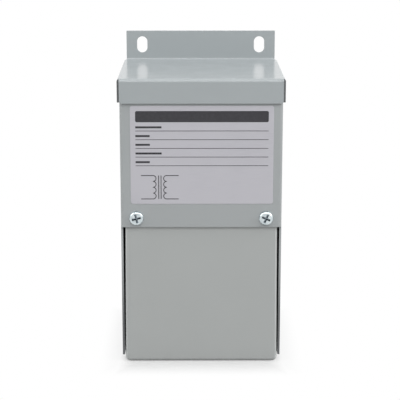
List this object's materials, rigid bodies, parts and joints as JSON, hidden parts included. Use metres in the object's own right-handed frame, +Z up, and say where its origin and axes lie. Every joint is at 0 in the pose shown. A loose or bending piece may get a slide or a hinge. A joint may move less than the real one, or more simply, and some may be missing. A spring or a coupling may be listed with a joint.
{
  "type": "wall-mounted dry-type transformer",
  "caption": "Small grey wall-mounted dry-type transformer in a folded sheet-steel box, with a drip cap, a slotted wall flange and a screwed wiring cover below.",
  "frame": {"origin": "on the floor under the middle of the box's bounding box", "axes": "+Z up, +Y to the wall, so the front with its wiring cover faces -Y"},
  "size_m": [0.0834, 0.0762, 0.1626],
  "materials": {
    "grey_paint": "satin",
    "potting": "matte",
    "zinc": "polished"
  },
  "bodies": {
    "root": {"top_cap": "grey_paint", "front_shell": "grey_paint", "back_panel": "grey_paint", "wiring_cover": "grey_paint", "potted_core": "potting", "left_cover_screw": "zinc", "right_cover_screw": "zinc", "left_knockout_ring": "grey_paint", "left_knockout_disc": "grey_paint", "right_knockout_ring": "grey_paint", "right_knockout_disc": "grey_paint", "back_knockout_ring": "grey_paint", "back_knockout_disc": "grey_paint"}
  },
  "joints": []
}
